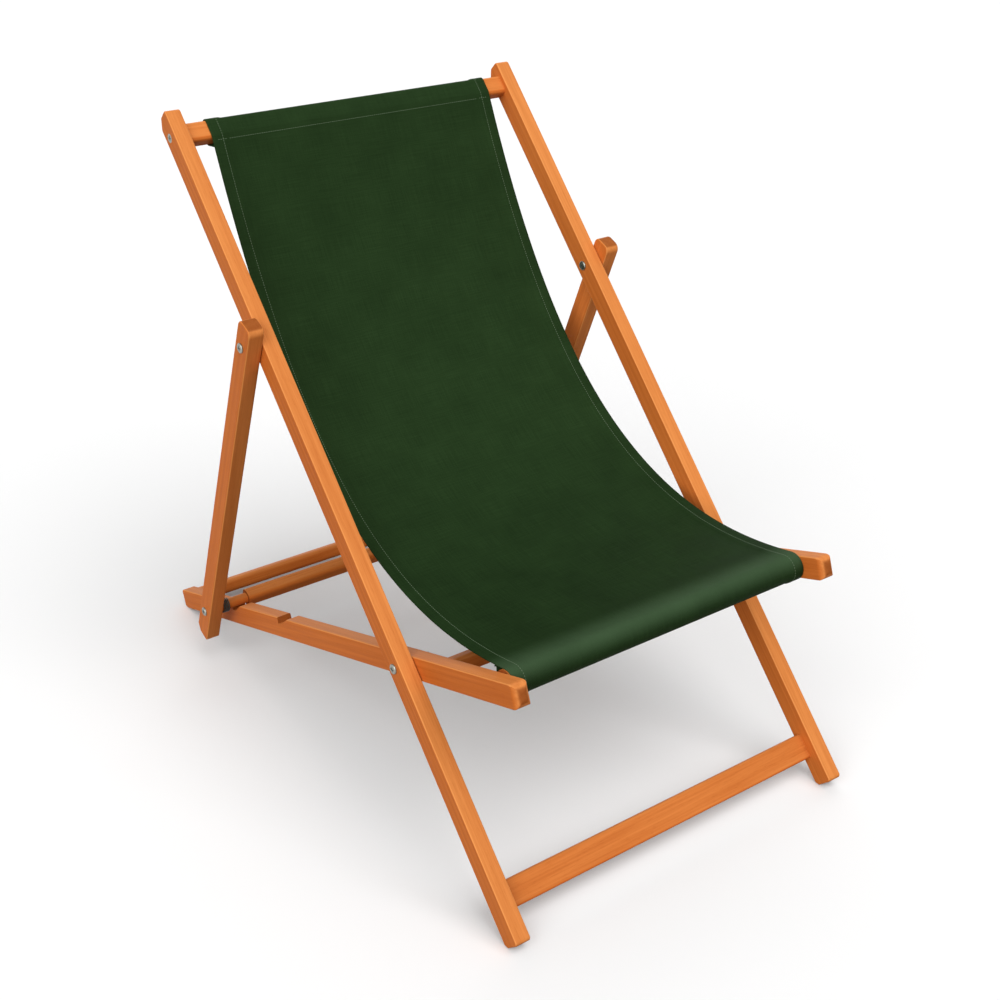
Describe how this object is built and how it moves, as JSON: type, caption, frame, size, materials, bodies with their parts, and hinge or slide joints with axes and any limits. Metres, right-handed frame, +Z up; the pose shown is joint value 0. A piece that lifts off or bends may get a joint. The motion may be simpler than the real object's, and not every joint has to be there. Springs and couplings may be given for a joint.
{
  "type": "folding deckchair",
  "caption": "Folding wooden deckchair: a reclined back frame, a crossing seat frame and a rear prop frame with a notched rest, carrying one hanging cloth sling.",
  "frame": {"origin": "on the floor under the middle of the chair's box", "axes": "+Z up, the sitter faces -Y, +X to the sitter's left"},
  "size_m": [0.6054, 0.9712, 0.854],
  "materials": {
    "timber": "oiled",
    "cloth": "woven canvas",
    "fittings": "zinc plated"
  },
  "bodies": {
    "back_frame": {"long_rail_left": "timber", "long_rail_right": "timber", "top_bar": "timber", "foot_slat": "timber", "top_bar_screws": "fittings", "main_pivot_bolts": "fittings", "main_pivot_spacers": "fittings", "main_pivot_washers": "fittings", "main_pivot_nuts": "fittings", "prop_pivot_bolts": "fittings", "prop_pivot_barrels": "fittings", "prop_pivot_spacers": "fittings", "sling": "cloth"},
    "seat_frame": {"seat_rail_left": "timber", "seat_rail_right": "timber", "front_bar": "timber", "middle_stretcher": "timber", "rear_stretcher": "timber"},
    "prop_frame": {"prop_left": "timber", "prop_right": "timber", "prop_bar": "timber", "prop_bar_sleeves": "timber", "prop_bar_bolts": "fittings"}
  },
  "joints": [
    {"name": "seat_fold", "type": "hinge", "parent": "back_frame", "child": "seat_frame", "pos_m": [0, -0.22859, 0.271], "axis": [1, 0, 0], "range_deg": [0, 63], "deforming": ["sling"]},
    {"name": "prop_fold", "type": "hinge", "parent": "back_frame", "child": "prop_frame", "pos_m": [0, 0.08014, 0.59976], "axis": [1, 0, 0], "range_deg": [0, 108.99]}
  ],
  "couplings": [
    {"joint": "prop_fold", "follows": "seat_fold", "ratio": 1.73}
  ]
}
